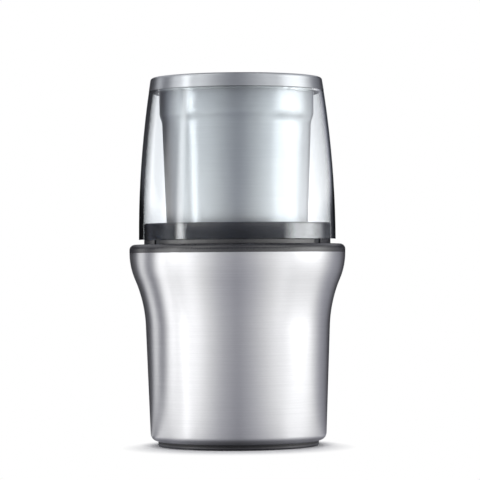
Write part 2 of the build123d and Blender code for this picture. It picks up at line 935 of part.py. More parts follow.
def brush_holders():
    level = brush_level()
    half = brush_side / 2 + holder_wall
    hollow = brush_side / 2 + run_gap
    low = commutator_radius + 1.2
    high = commutator_radius + holder_length
    box = block((low, high), (-half, half), (level - half, level + half))
    box -= block((low - 1, high - holder_wall), (-hollow, hollow), (level - hollow, level + hollow))
    return sideways(box)


def carbon_brushes():
    level = brush_level()
    half = brush_side / 2
    low = commutator_radius + run_gap
    brush = block((low - 1, low + brush_length), (-half, half), (level - half, level + half))
    return sideways(brush - rod(commutator_radius + run_gap, level - half - 1, level + half + 1))


def brush_springs():
    low = commutator_radius + run_gap + brush_length + run_gap
    high = commutator_radius + holder_length - holder_wall - run_gap
    spring = coil_spring(brush_spring_radius, low, high, 3)
    return sideways(Pos(0, 0, brush_level()) * Rot(0, 90, 0) * spring)


def cooling_fan():
    low = chassis_top + nut_height + 1.4
    fan = tube(shaft_radius + set_gap, fan_hub_radius, low, low + fan_height)
    fan += tube(shaft_radius + set_gap, fan_radius, low, low + fan_disc)
    blade = block(
        (fan_hub_radius - 1.5, fan_radius),
        (fan_blade_offset - fan_blade_thickness / 2, fan_blade_offset + fan_blade_thickness / 2),
        (low + fan_disc / 2, low + fan_height),
    )
    blade &= rod(fan_radius - 0.3, low, low + fan_height)
    return fan + [Rot(0, 0, 360 / fan_blades * i) * blade for i in range(fan_blades)]


def coupling_hub_radius():
    return shaft_radius + 2.0


def dog_gaps(low, high, start):
    """What is cut out of a coupling to leave its dogs."""
    step = 360 / coupling_dogs
    first = start + dog_angle / 2
    gap = tube(dog_inner_radius - 1, coupling_radius + 1, low, high, step - dog_angle, first)
    return rod(dog_inner_radius, low, high) + [Rot(0, 0, step * i) * gap for i in range(coupling_dogs)]


def drive_coupling():
    high = drive_face + dog_height
    hub_low = coupling_well_bottom + 0.2
    body = rod(coupling_radius, drive_bottom, high) - dog_gaps(drive_face, high + 1, 0)
    body += rod(coupling_hub_radius(), hub_low, drive_bottom + 0.5)
    return body - rod(shaft_radius + set_gap, hub_low - 1, drive_face - 0.3 + set_gap)


def driven_coupling():
    low = driven_face - dog_height
    body = rod(coupling_radius, low, driven_top) - dog_gaps(low - 1, driven_face, 180 / coupling_dogs)
    return body - rod(blade_shaft_radius + set_gap, driven_face + socket_floor, driven_top + 1)


# Small electrical parts
def on_base(shape, angle):
    return Rot(0, 0, angle) * Pos(electrics_circle, 0, base_top) * shape


def capacitor():
    can = Pos(0, 0, capacitor_height / 2) * Box(capacitor_depth, capacitor_width, capacitor_height)
    return on_base(fillet(can.edges().filter_by(Axis.Z), 1.2), capacitor_angle)


def terminal_block():
    body = Pos(0, 0, terminal_height / 2) * Box(terminal_depth, terminal_width, terminal_height)
    for side in (-1, 1):
        y = side * terminal_width / 4
        body -= rod(terminal_hole_radius, terminal_height - terminal_hole_depth, terminal_height + 1, 0, y)
        body -= Pos(0, y, terminal_height / 3) * Rot(0, 90, 0) * Cylinder(1.2, terminal_depth + 2)
    return on_base(body, terminal_angle)


def lead_starts():
    """The bottoms of the terminal block's holes, where the switch's leads start."""
    level = base_top + terminal_height - terminal_hole_depth
    return [
        Vector(electrics_circle, side * terminal_width / 4, level).rotate(Axis.Z, terminal_angle)
        for side in (-1, 1)
    ]


def lead(points):
    path = FilletPolyline(*points, radius=lead_bend)
    return sweep(Plane(path @ 0, z_dir=path % 0) * Circle(lead_radius), path)


def switch_leads():
    """Insulated leads from the terminal block up to the tags of the switch."""
    made = []
    for start, level in zip(lead_starts(), tag_heights()):
        tag = -switch_length / 2 - tag_length - run_gap
        end, before = [
            Vector(u, switch_circle, level).rotate(Axis.Z, switch_turn) for u in (tag, tag - lead_run)
        ]
        made.append(lead([start, (start.X, start.Y, level), before, end]))
    return one_of(made)


# Bowl
def bowl_flare(inset):
    return flare(bowl_waist_radius, bowl_rim_radius, bowl_rim - bowl_brim, bowl_bend, bowl_bend, inset)


def bowl():
    outer = bowl_flare(0.0)
    inner = bowl_flare(bowl_wall)
    foot_out = wall_down_to(bowl_bottom, outer[0])
    foot_in = wall_down_to(bowl_floor, inner[0])
    hole = bush_radius + set_gap
    face = make_face(
        [
            Line((hole, bowl_bottom), foot_out),
            Line(foot_out, outer[0]),
            ThreePointArc(*outer[:3]),
            ThreePointArc(*outer[2:]),
            Line(outer[4], (bowl_rim_radius, bowl_rim)),
            Line((bowl_rim_radius, bowl_rim), (bowl_rim_radius - bowl_wall, bowl_rim)),
            Line((bowl_rim_radius - bowl_wall, bowl_rim), inner[4]),
            ThreePointArc(*reversed(inner[2:])),
            ThreePointArc(*reversed(inner[:3])),
            Line(inner[0], foot_in),
            Line(foot_in, (hole, bowl_floor)),
            Line((hole, bowl_floor), (hole, bowl_bottom)),
        ]
    )
    return spun(rounded(face, [(*foot_out, bowl_corner), (*foot_in, bowl_corner - bowl_wall)]))


def bowl_ring():
    """The moulding that the bowl is fixed in, with the spigot that stands in the collar's well."""
    seat_radius = wall_down_to(ring_top, bowl_flare(0.0)[0])[0] + slip_gap
    seat_low = bowl_bottom - ring_seat
    spigot_low = neck_top - spigot_depth
    ring = turned(
        (bush_radius + set_gap, seat_low),
        (seat_radius + ring_wall, seat_low),
        (seat_radius + ring_wall, ring_top - ring_web),
        (spigot_radius - ring_wall, ring_top - ring_web),
        (spigot_radius - ring_wall, spigot_low),
        (spigot_radius, spigot_low),
        (spigot_radius, neck_top),
        (ring_radius, neck_top),
        (ring_radius, ring_top, ring_round),
        (seat_radius, ring_top, 0.4),
        (seat_radius, bowl_bottom),
        (bush_radius + set_gap, bowl_bottom),
    )
    for angle in key_angles:
        ring += key(angle, 0, spigot_low, neck_top + 0.5, ring_radius - key_inset)
    return ring


def bowl_bush():
    flange_low = bowl_floor + bush_washer
    return turned(
        (blade_shaft_radius + run_gap, bush_bottom()),
        (bush_radius, bush_bottom(), 0.4),
        (bush_radius, flange_low),
        (bush_flange_radius, flange_low),
        (bush_flange_radius, flange_low + bush_flange, 0.5),
        (blade_shaft_radius + run_gap, flange_low + bush_flange),
    )


def bush_bottom():
    return driven_top + 0.4


def bush_gasket():
    return tube(bush_radius + set_gap, bush_flange_radius, bowl_floor, bowl_floor + bush_washer)


def bush_nut():
    high = bowl_bottom - ring_seat
    return hexagon_nut(bush_nut_radius, bush_radius + set_gap, high - bush_nut_height, high)


def blade_spacer_bottom():
    return bowl_floor + bush_washer + bush_flange + 0.1


def blade_bottom():
    return blade_spacer_bottom() + blade_spacer_height


def blade_spacer():
    return tube(blade_shaft_radius + set_gap, blade_nut_radius, blade_spacer_bottom(), blade_bottom())


def blade_shaft():
    top = blade_bottom() + blade_thickness + blade_nut_height - blade_nut_crown
    return rod(blade_shaft_radius, driven_face + socket_floor + set_gap, top)


def blade():
    """Two arms of one strip, their ends bent up and their leading edges ground."""
    bend = radians(blade_bend)
    outer = blade_reach - blade_bend_at
    rise = outer * tan(bend)
    drop = blade_thickness / cos(bend)
    corner = blade_thickness * tan(bend / 2)
    low = blade_bottom()
    side = make_face(
        Polyline(
            (0, low),
            (blade_bend_at, low),
            (blade_reach, low + rise),
            (blade_reach, low + rise + drop),
            (blade_bend_at - corner, low + blade_thickness),
            (0, low + blade_thickness),
            close=True,
        )
    )
    half = blade_width / 2
    arm = Pos(0, half, 0) * extrude(Plane.XZ * side, blade_width)
    plan = make_face(
        Polyline(
            (0, -half),
            (blade_bend_at, -half),
            (blade_reach, half - blade_tip_width),
            (blade_reach, half),
            (0, half),
            close=True,
        )
    )
    arm &= Pos(0, 0, low - 1) * extrude(plan, rise + drop + 3)
    strip = arm + Rot(0, 0, 180) * arm
    return strip - rod(blade_shaft_radius + set_gap, low - 1, low + blade_thickness + 1)


def blade_nut():
    low = blade_bottom() + blade_thickness
    high = low + blade_nut_height
    dome = turned((0, low), (blade_nut_radius, low), (blade_nut_radius, high, 2.4), (0, high))
    nut = dome & (Pos(0, 0, low) * extrude(RegularPolygon(blade_nut_radius, 6), blade_nut_height))
    return nut - rod(blade_shaft_radius + set_gap, low - 1, high - blade_nut_crown + set_gap)


# Lid
def lid_shell():
    tuck = cap_wall + run_gap
    ledge_bore = bowl_rim_radius + 2 * slip_gap
    face = make_face(
        [
            lid_side(lid_bottom, cap_bottom),
            Line((lid_reach(cap_bottom), cap_bottom), (lid_reach(cap_bottom, tuck), cap_bottom)),
            lid_side(cap_bottom, cap_under, tuck),
            Line((lid_reach(cap_under, tuck), cap_under), (0, cap_under)),
            Line((0, cap_under), (0, lid_under)),
            Line((0, lid_under), (ledge_bore, lid_under)),
            Line((ledge_bore, lid_under), (ledge_bore, lid_ledge)),
            Line((ledge_bore, lid_ledge), (lid_reach(lid_ledge, lid_wall), lid_ledge)),
            lid_side(lid_bottom, lid_ledge, lid_wall),
            Line((lid_radius - lid_wall, lid_bottom), (lid_radius, lid_bottom)),
        ]
    )
    shell = spun(rounded(face, [(lid_reach(cap_under, tuck), cap_under, cap_round)]))
    tab = tube(lid_radius - lid_wall + 0.05, lid_radius - 0.05, tab_bottom, lid_bottom + 0.5)
    half = lid_tab_width / 2
    shell += tab & block((-half, half), (0, lid_radius + 1), (tab_bottom, lid_bottom + 0.5))
    for x, y in round_about(lid_screw_circle, 3, 90):
        shell += rod(lid_boss_radius, lid_boss_bottom(), lid_under + 0.3, x, y)
    for x, y in round_about(lid_screw_circle, 3, 90):
        shell -= rod(lid_screw_radius + set_gap, lid_boss_bottom() - 1, lid_under, x, y)
    return shell


def lid_boss_bottom():
    return seal_bottom + seal_plate + lid_travel + 0.2


def lid_cap():
    face = make_face(
        [
            lid_side(cap_bottom, lid_top),
            Line((lid_reach(lid_top), lid_top), (0, lid_top)),
            Line((0, lid_top), (0, cap_under)),
            Line((0, cap_under), (lid_reach(cap_under, cap_wall), cap_under)),
            lid_side(cap_bottom, cap_under, cap_wall),
            Line((lid_reach(cap_bottom, cap_wall), cap_bottom), (lid_reach(cap_bottom), cap_bottom)),
        ]
    )
    outside = (lid_reach(lid_top), lid_top, cap_round)
    inside = (lid_reach(cap_under, cap_wall), cap_under, cap_round - cap_wall)
    return spun(rounded(face, [outside, inside]))


def lid_screws():
    """Shoulder screws that hang the seal plate under the lid."""
    one = screw(lid_screw_radius, small_head_radius + 0.4, small_head, lid_under - seal_bottom - 0.2)
    return one_of(Pos(x, y, seal_bottom) * one for x, y in round_about(lid_screw_circle, 3, 90))


def lid_springs():
    """Springs round the screws that push the lid up again."""
    seat = seal_bottom + seal_plate
    one = coil_spring(lid_boss_radius + wire_radius + slip_gap, seat + run_gap, lid_under - run_gap, 3)
    return one_of(Pos(x, y, 0) * one for x, y in round_about(lid_screw_circle, 3, 90))


def gasket_radius():
    return bowl_rim_radius - bowl_wall - slip_gap


def plate_radius():
    """The seal plate's edge, in the gasket's groove."""
    return gasket_radius() - seal_groove


def lid_seal_plate():
    high = seal_bottom + seal_plate
    plate = turned(
        (0, seal_bottom),
        (gasket_radius() - seal_width - seal_groove, seal_bottom),
        (gasket_radius() - seal_width - seal_groove, seal_bottom + seal_plate / 4),
        (plate_radius(), seal_bottom + seal_plate / 4),
        (plate_radius(), high - seal_plate / 4),
        (gasket_radius() - seal_width - seal_groove, high - seal_plate / 4),
        (gasket_radius() - seal_width - seal_groove, high),
        (0, high),
    )
    for x, y in round_about(lid_screw_circle, 3, 90):
        plate -= rod(lid_screw_radius + slip_gap, seal_bottom - 1, high + 1, x, y)
    return plate


def lid_gasket():
    low = seal_bottom
    outer = gasket_radius()
    inner = outer - seal_width - seal_groove + set_gap
    slot = plate_radius() + set_gap
    return turned(
        (inner, low),
        (outer, low, 0.3),
        (outer, bowl_rim),
        (bowl_rim_radius, bowl_rim),
        (bowl_rim_radius, bowl_rim + seal_lip),
        (outer - seal_width, bowl_rim + seal_lip),
        (outer - seal_width, low + seal_plate),
        (inner, low + seal_plate),
        (inner, low + 3 * seal_plate / 4 + set_gap),
        (slot, low + 3 * seal_plate / 4 + set_gap),
        (slot, low + seal_plate / 4 - set_gap),
        (inner, low + seal_plate / 4 - set_gap),
    )


nodes = {
    "housing_shell": housing_shell,
    "collar": collar,
    "chassis": chassis,
    "base_plate": base_plate,
    "foot_ring": foot_ring,
    "cord_spool": cord_spool,
    "cord_gland": cord_gland,
    "base_screws": base_screws,
    "spool_screws": spool_screws,
    "collar_screws": collar_screws,
    "microswitch": microswitch,
    "switch_terminals": switch_terminals,
    "switch_screws": switch_screws,
    "switch_lever": switch_lever,
    "switch_button": switch_button,
    "switch_plunger": switch_plunger,
    "plunger_spring": plunger_spring,
    "stator_core": stator_core,
    "field_coils": field_coils,
    "upper_bracket": upper_bracket,
    "lower_bracket": lower_bracket,
    "upper_bearing": lambda: bearing_at(upper_bearing_bottom()),
    "lower_bearing": lambda: bearing_at(lower_bearing_bottom()),
    "motor_screws": motor_screws,
    "motor_nuts": motor_nuts,
    "motor_mounts": motor_mounts,
    "brush_holders": brush_holders,
    "carbon_brushes": carbon_brushes,
    "brush_springs": brush_springs,
    "motor_shaft": motor_shaft,
    "armature_core": armature_core,
    "armature_windings": armature_windings,
    "commutator": commutator,
    "cooling_fan": cooling_fan,
    "drive_coupling": drive_coupling,
    "capacitor": capacitor,
    "terminal_block": terminal_block,
    "switch_leads": switch_leads,
    "bowl": bowl,
    "bowl_ring": bowl_ring,
    "bowl_bush": bowl_bush,
    "bush_gasket": bush_gasket,
    "bush_nut": bush_nut,
    "blade_shaft": blade_shaft,
    "blade_spacer": blade_spacer,
    "blade": blade,
    "blade_nut": blade_nut,
    "driven_coupling": driven_coupling,
    "lid_shell": lid_shell,
    "lid_cap": lid_cap,
    "lid_screws": lid_screws,
    "lid_springs": lid_springs,
    "lid_seal_plate": lid_seal_plate,
    "lid_gasket": lid_gasket,
}

os.makedirs("parts", exist_ok=True)
for name, make in nodes.items():
    export_step(make(), f"parts/{name}.step")

print(f"switch lever turns {degrees(lever_swing()):.3f} degrees, {lever_swing() / lid_travel:.6f} rad per mm")
print(f"switch button drops {button_drop():.4f} mm, {button_drop() / lid_travel:.4f} of the lid's travel")
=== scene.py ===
import json
from math import acos, cos, pi, radians, sin, tan

import bpy
from mathutils import Matrix, Vector

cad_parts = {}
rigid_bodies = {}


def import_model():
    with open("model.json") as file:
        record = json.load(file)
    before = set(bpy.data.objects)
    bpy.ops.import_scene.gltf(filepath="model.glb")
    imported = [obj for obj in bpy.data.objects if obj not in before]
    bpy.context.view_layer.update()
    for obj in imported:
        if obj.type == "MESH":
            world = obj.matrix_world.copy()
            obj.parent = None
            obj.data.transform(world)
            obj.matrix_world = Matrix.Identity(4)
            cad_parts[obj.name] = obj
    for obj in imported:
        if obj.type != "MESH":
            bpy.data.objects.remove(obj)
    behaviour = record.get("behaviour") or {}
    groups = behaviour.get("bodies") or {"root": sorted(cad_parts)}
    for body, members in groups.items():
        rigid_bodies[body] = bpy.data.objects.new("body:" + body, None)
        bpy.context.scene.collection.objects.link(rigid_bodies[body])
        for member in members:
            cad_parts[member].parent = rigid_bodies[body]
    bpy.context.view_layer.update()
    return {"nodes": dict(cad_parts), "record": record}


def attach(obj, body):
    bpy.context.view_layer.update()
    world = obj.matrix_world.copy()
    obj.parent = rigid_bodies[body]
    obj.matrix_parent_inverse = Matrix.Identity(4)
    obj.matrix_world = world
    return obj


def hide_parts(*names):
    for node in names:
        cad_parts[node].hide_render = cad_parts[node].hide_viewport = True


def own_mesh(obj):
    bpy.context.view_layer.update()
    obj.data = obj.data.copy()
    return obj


for leftover in list(bpy.data.objects):
    bpy.data.objects.remove(leftover)

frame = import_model()
cadNodes = frame["nodes"]
mm = 0.001
print("frame loaded:", len(cadNodes), "nodes")


# a Python operator that adds a Math node
def operator(operation, reflected=False):
    def apply(self, other):
        terms = (other, self) if reflected else (self, other)
        return self.graph.maths(operation, *terms)
    return apply


# a socket that can be used in Python expressions, for shader and geometry trees alike
class Value:
    def __init__(self, graph, socket):
        self.graph, self.socket = graph, socket

    def out(self, name):
        return Value(self.graph, self.socket.node.outputs[name])

    def of(self, operation, *terms):
        return self.graph.maths(operation, self, *terms)

    __add__ = __radd__ = operator("ADD")
    __mul__ = __rmul__ = operator("MULTIPLY")
    __sub__, __rsub__ = operator("SUBTRACT"), operator("SUBTRACT", True)
    __truediv__, __rtruediv__ = operator("DIVIDE"), operator("DIVIDE", True)
    __pow__, __rpow__ = operator("POWER"), operator("POWER", True)
    __mod__, __rmod__ = operator("MODULO"), operator("MODULO", True)
    __gt__, __lt__ = operator("GREATER_THAN"), operator("LESS_THAN")


# a node tree; node() takes a node's type, its settings, then the values or links of its sockets
class Graph:
    def __init__(self, tree):
        self.tree = tree
        tree.nodes.clear()

    def node(self, kind, settings=None, inputs=None, output=0):
        made = self.tree.nodes.new(kind)
        for key, value in (settings or {}).items():
            if key == "stops":
                setStops(made.color_ramp, value)
            else:
                setattr(made, key, value)
        for key, value in (inputs or {}).items():
            if isinstance(value, Value):
                self.tree.links.new(value.socket, made.inputs[key])
            else:
                made.inputs[key].default_value = value
        return Value(self, made.outputs[output]) if made.outputs else None

    def maths(self, operation, *terms):
        return self.node("ShaderNodeMath", {"operation": operation}, dict(enumerate(terms)))

    def coordinates(self, kind="Object"):
        return self.node("ShaderNodeTexCoord", None, None, kind)

    def split(self, vector):
        parts = self.node("ShaderNodeSeparateXYZ", None, {0: vector})
        return parts, parts.out("Y"), parts.out("Z")

    def vector(self, x, y, z):
        return self.node("ShaderNodeCombineXYZ", None, {0: x, 1: y, 2: z})

    def noise(self, vector, scale=1.0, detail=2.0, roughness=0.5):
        inputs = {"Vector": vector, "Scale": scale, "Detail": detail, "Roughness": roughness}
        return self.node("ShaderNodeTexNoise", None, inputs)

    # a Mix node's inputs 6 and 7 are its two colours, and its output 2 is their mixture
    def blend(self, factor, first, second):
        inputs = {"Factor": factor, 6: rgba(first), 7: rgba(second)}
        return self.node("ShaderNodeMix", {"data_type": "RGBA", "clamp_factor": True}, inputs, 2)

    def remap(self, value, low, high, newLow=0.0, newHigh=1.0):
        inputs = {0: value, 1: low, 2: high, 3: newLow, 4: newHigh}
        return self.node("ShaderNodeMapRange", {"clamp": True}, inputs)

    # one level where the mask is 0, the other where it is 1
    def choose(self, mask, level, other):
        return self.remap(mask, 0.0, 1.0, level, other)

    def bump(self, height, strength, distance):
        inputs = {"Height": height, "Strength": strength, "Distance": distance}
        return self.node("ShaderNodeBump", None, inputs)


def setStops(ramp, stops):
    while len(ramp.elements) < len(stops):
        ramp.elements.new(0.5)
    for element, (place, level) in zip(ramp.elements, stops):
        element.position = place
        element.color = (level, level, level, 1)


def rgba(colour):
    return colour if isinstance(colour, Value) else (*colour, 1)


# how far from the axis a point is
def reachOf(x, y):
    return (x * x + y * y) ** 0.5


def linkObject(name, data):
    made = bpy.data.objects.new(name, data)
    bpy.context.scene.collection.objects.link(made)
    return made


def newFinish(name):
    material = bpy.data.materials.new(name)
    material.use_nodes = True
    return material, Graph(material.node_tree)


def closeFinish(material, paint, surface):
    paint.node("ShaderNodeOutputMaterial", None, {"Surface": surface})
    return material


# gives an object the plain mesh that its modifiers make
def settle(piece):
    bpy.context.view_layer.update()
    evaluated = piece.evaluated_get(bpy.context.evaluated_depsgraph_get())
    mesh = bpy.data.meshes.new_from_object(evaluated)
    piece.modifiers.clear()
    piece.data = mesh
    return piece


# the piece moves with the body and takes the place of the CAD node
def standFor(piece, body, node):
    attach(piece, body)
    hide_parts(node)


# places are in metres, lens and sensor in mm, and roll is how far the camera leans to one side in degrees
cameraLook = {
    "distance": 1.4, "eyeLevel": 0.0958, "aim": (0.00144, 0.0, 0.1097), "roll": 0.4,
    "lens": 196.3, "sensor": 36.0, "clip": (0.05, 50.0),
}


def placeCamera(look):
    data = bpy.data.cameras.new("camera")
    data.lens, data.sensor_width = look["lens"], look["sensor"]
    data.clip_start, data.clip_end = look["clip"]
    camera = linkObject("camera", data)
    eye = Vector((0.0, -look["distance"], look["eyeLevel"]))
    turn = (Vector(look["aim"]) - eye).to_track_quat("-Z", "Y").to_matrix().to_4x4()
    lean = Matrix.Rotation(radians(-look["roll"]), 4, "Z")
    camera.matrix_world = Matrix.Translation(eye) @ turn @ lean
    bpy.context.scene.camera = camera


placeCamera(cameraLook)
print("camera placed")


# The studio is a ring of light round the object. Ramps run from the backdrop (0) by the left (0.25),
# the front (0.5) and the right (0.75) back to the backdrop (1), or from straight down (0) by the
# horizon (0.5) to straight up (1).
studio = {
    "strength": 2.2,
    "room": [
        (0.0, 0.455), (0.02, 0.455), (0.035, 0.036), (0.12, 0.1), (0.16, 1.49), (0.185, 0.54), (0.205, 0.25),
        (0.22, 0.43), (0.235, 1.26), (0.25, 2.16), (0.27, 2.155), (0.29, 1.1), (0.31, 0.97), (0.335, 1.97),
        (0.36, 2.0), (0.4, 1.33), (0.45, 0.8), (0.5, 0.56), (0.55, 0.875), (0.6, 1.325), (0.64, 1.755),
        (0.68, 1.17), (0.71, 0.97), (0.74, 0.985), (0.765, 0.97), (0.785, 0.735), (0.82, 0.48), (0.865, 0.44),
        (0.93, 0.045), (0.965, 0.027), (0.98, 0.455), (1.0, 0.455),
    ],
    # the same ring, as light that comes through the lid shows it
    "throughLid": [
        (0.0, 0.1), (0.02, 0.03), (0.12, 0.04), (0.16, 0.35), (0.19, 0.61), (0.215, 0.88), (0.24, 1.62),
        (0.262, 1.4), (0.285, 0.72), (0.31, 1.09), (0.34, 1.385), (0.37, 1.3), (0.4, 1.16), (0.465, 0.72),
        (0.5, 0.56), (0.535, 0.675), (0.57, 0.945), (0.6, 1.155), (0.63, 1.485), (0.66, 1.655), (0.69, 1.05),
        (0.72, 0.715), (0.75, 0.82), (0.825, 0.815), (0.87, 0.965), (0.93, 0.3), (0.965, 0.1), (1.0, 0.1),
    ],
    "height": [
        (0.0, 1.0), (0.498, 1.0), (0.502, 0.09), (0.518, 0.09), (0.53, 0.72), (0.6, 0.24), (0.66, 0.11),
        (0.74, 0.25), (0.86, 0.5), (0.93, 0.3), (0.96, 0.2), (1.0, 0.2),
    ],
    # a soft light high behind the object, which fades out towards its sides
    "sky": [(0.63, 0.0), (0.7, 0.65), (0.86, 0.65), (0.93, 0.0)], "skyFade": (0.0, 0.25),
    # bright panels at the left and the right
    "panels": [
        (0.283, 0.0), (0.297, 1.4), (0.309, 1.4), (0.322, 0.0), (0.655, 0.0), (0.7, 1.0), (0.76, 1.0),
        (0.8, 0.45), (0.85, 0.0),
    ],
    "panelHeight": [
        (0.5, 0.0), (0.503, 0.5), (0.525, 0.5), (0.58, 0.3), (0.66, 0.27), (0.72, 0.2), (0.76, 0.0),
    ],
    "panelStrength": 6.8, "panelThroughLid": 4.5, "panelOnFloor": 1.2,
    # the panels have a bright foot for light that passes the lid's surface more often than footPasses
    "panelFoot": [(0.5, 0.0), (0.503, 1.0), (0.512, 1.0), (0.522, 0.0)], "footStrength": 20.0, "footPasses": 3,
    # the colour of weak light, and the levels between which light turns from it to white
    "shade": (0.885, 0.89, 1.0), "shadeSpan": (0.4, 1.0),
    # metal mirrors a white backdrop where the direction's y is past this
    "backdropEdge": 0.992,
    "lampPower": 8.0, "lampSize": 0.9, "lampPlace": (0.0, 0.3, 1.5),
    # metres; the shadow and the ground under the foot fade out over their reach, and floorLevel is the
    # mirrored floor's level by the distance from the axis, up to one metre
    "floorReach": 6.0, "floorWhite": 0.86, "shadowCentre": -0.016,
    "shadowReach": (0.043, 0.062), "footReach": (0.047, 0.056),
    "floorLevel": [(0.05, 0.06), (0.066, 0.34), (0.14, 0.35), (0.3, 0.38), (0.6, 0.44), (1.0, 0.5)],
}


# the level that a ramp gives
def levelAt(graph, stops, place):
    ramp = graph.node("ShaderNodeValToRGB", {"stops": stops}, {0: place})
    return graph.node("ShaderNodeSeparateColor", None, {0: ramp})


# how far round the object the direction of x and y is
def turnOf(x, y):
    return x.of("ARCTAN2", y * -1.0) / (2 * pi) + 0.5


# 1 for what the camera sees straight or through clear plastic
def cameraSees(ray):
    unmirrored = (ray.out("Glossy Depth") + ray.out("Diffuse Depth")) < 1
    return ray.out("Is Camera Ray").of("MAXIMUM", ray.out("Is Transmission Ray") * unmirrored)


# light is a little blue where it is weak
def lightColour(graph, look, level):
    return graph.blend(graph.remap(level, *look["shadeSpan"]), look["shade"], (1, 1, 1))


def ringOfLight(graph, look, ray, around):
    straight, throughLid = [levelAt(graph, look[ring], around) for ring in ("room", "throughLid")]
    return graph.choose(ray.out("Is Transmission Ray"), straight, throughLid) * look["strength"]


def lightRoom(look):
    world = bpy.data.worlds.new("studio")
    bpy.context.scene.world = world
    world.use_nodes = True
    room = Graph(world.node_tree)
    ray = room.node("ShaderNodeLightPath")
    x, y, z = room.split(room.coordinates("Generated"))
    around, upward = turnOf(x, y), z * 0.5 + 0.5
    sky = levelAt(room, look["sky"], upward) * room.remap(y, *look["skyFade"])
    ring = ringOfLight(room, look, ray, around) * levelAt(room, look["height"], upward)
    through = ray.out("Is Transmission Ray")
    strength = room.choose(through, look["panelStrength"], look["panelThroughLid"])
    foot = levelAt(room, look["panelFoot"], upward) * (ray.out("Transmission Depth") > look["footPasses"])
    panels = levelAt(room, look["panelHeight"], upward) * strength + foot * look["footStrength"]
    level = ring.of("MAXIMUM", sky) + panels * levelAt(room, look["panels"], around)
    mirrored = (1 - through) * ray.out("Is Glossy Ray") * (y > look["backdropEdge"])
    level = room.choose(cameraSees(ray).of("MAXIMUM", mirrored), level, 1.0)
    colour = lightColour(room, look, level)
    light = room.node("ShaderNodeBackground", None, {"Color": colour, "Strength": level})
    room.node("ShaderNodeOutputWorld", None, {"Surface": light})

    data = bpy.data.lights.new("softbox", "AREA")
    data.size, data.energy = look["lampSize"], look["lampPower"]
    lamp = linkObject("softbox", data)
    lamp.location = look["lampPlace"]
    lamp.visible_glossy = False


# The camera sees a plain floor near the object, where its shadow falls, and white farther out. To mirrors
# the floor is the lower half of the ring of light.
def layFloor(look):
    mesh = bpy.data.meshes.new("floor")
    reach = look["floorReach"]
    corners = [(-reach, -reach, 0), (reach, -reach, 0), (reach, reach, 0), (-reach, reach, 0)]
    mesh.from_pydata(corners, [], [(0, 1, 2, 3)])
    floor = linkObject("floor", mesh)
    material, paint = newFinish("floor")
    ray = paint.node("ShaderNodeLightPath")
    x, y, _ = paint.split(paint.coordinates())
    around, away = turnOf(x, y), reachOf(x, y)
    shadow = paint.remap(reachOf(x, y - look["shadowCentre"]), *look["shadowReach"], 1.0, 0.0)
    near = shadow.of("MAXIMUM", paint.remap(away, *look["footReach"], 1.0, 0.0))
    panels = levelAt(paint, look["panels"], around) * look["panelOnFloor"]
    level = (ringOfLight(paint, look, ray, around) + panels) * levelAt(paint, look["floorLevel"], away)
    seen = cameraSees(ray)
    level = paint.choose(seen, level, 1.0)
    plain = paint.node("ShaderNodeBsdfDiffuse", None, {"Color": rgba((look["floorWhite"],) * 3)})
    glow = paint.node("ShaderNodeEmission", None, {"Color": lightColour(paint, look, level), "Strength": level})
    closeFinish(material, paint, paint.node("ShaderNodeMixShader", None, {0: near * seen, 1: glow, 2: plain}))
    mesh.materials.append(material)


lightRoom(studio)
layFloor(studio)
bpy.context.scene.view_settings.view_transform = "Standard"
print("studio lit")

# most of a noise lies between these levels
noiseSpan, cloudSpan = (0.3, 0.7), (0.35, 0.65)


# Steel brushed around the axis. Run is 1 where a wall leans outwards as it goes up, -1 on the cap. The three
# layers of lines have a scale around the axis and one across the lines, and a share in the colour.
def brushedSteel(name, look):
    material, paint = newFinish(name)
    place = paint.coordinates()
    x, y, z = paint.split(place)
    along = z + reachOf(x, y) * look["run"]
    layers = [
        paint.noise(paint.vector(x * around, y * around, along * across)) for around, across, _ in look["lines"]
    ]
    grain = sum(layer * share for layer, (_, _, share) in zip(layers, look["lines"]))
    smudge = paint.noise(place, look["smudgeScale"], detail=3.0)
    rough = paint.remap(grain, *noiseSpan, *look["roughness"]) + (smudge - 0.5) * look["smudge"]
    steel = paint.node("ShaderNodeBsdfPrincipled", None, {
        "Base Color": paint.blend(paint.remap(grain, *noiseSpan), look["dark"], look["light"]),
        "Metallic": 1.0, "Roughness": rough,
        "Anisotropic": look["anisotropic"], "Anisotropic Rotation": 0.25,
        "Normal": paint.bump(layers[0], look["bump"], distance=0.03 * mm),
    })
    return closeFinish(material, paint, steel)


# moulded plastic or rubber with a fine spark texture
def moulded(name, look):
    material, paint = newFinish(name)
    place = paint.coordinates()
    grain = paint.noise(place, look["grain"], roughness=0.6)
    cloud = paint.noise(place, scale=40.0, detail=3.0)
    body = paint.node("ShaderNodeBsdfPrincipled", None, {
        "Base Color": paint.blend(paint.remap(cloud, *cloudSpan), look["dark"], look["light"]),
        "Roughness": paint.remap(grain, *noiseSpan, *look["roughness"]),
        "Specular IOR Level": look.get("specular", 0.5),
        "Normal": paint.bump(grain, look["bump"], distance=0.1 * mm),
    })
    return closeFinish(material, paint, body)


# turned, cast, plated or drawn metal; scale is that of its lines, around the axis and along it
def metalFinish(name, look):
    material, paint = newFinish(name)
    place = paint.coordinates()
    x, y, z = paint.split(place)
    around, along = look["scale"]
    lines = paint.noise(paint.vector(x * around, y * around, z * along), detail=3.0)
    cloud = paint.noise(place, scale=120.0)
    lineShare = 0.7
    grain = lines * lineShare + cloud * (1 - lineShare)
    metal = paint.node("ShaderNodeBsdfPrincipled", None, {
        "Base Color": paint.blend(paint.remap(grain, *noiseSpan), look["dark"], look["light"]),
        "Metallic": 1.0, "Roughness": paint.remap(cloud, *noiseSpan, *look["roughness"]),
        "Normal": paint.bump(lines, look["bump"], distance=0.05 * mm),
    })
    return closeFinish(material, paint, metal)


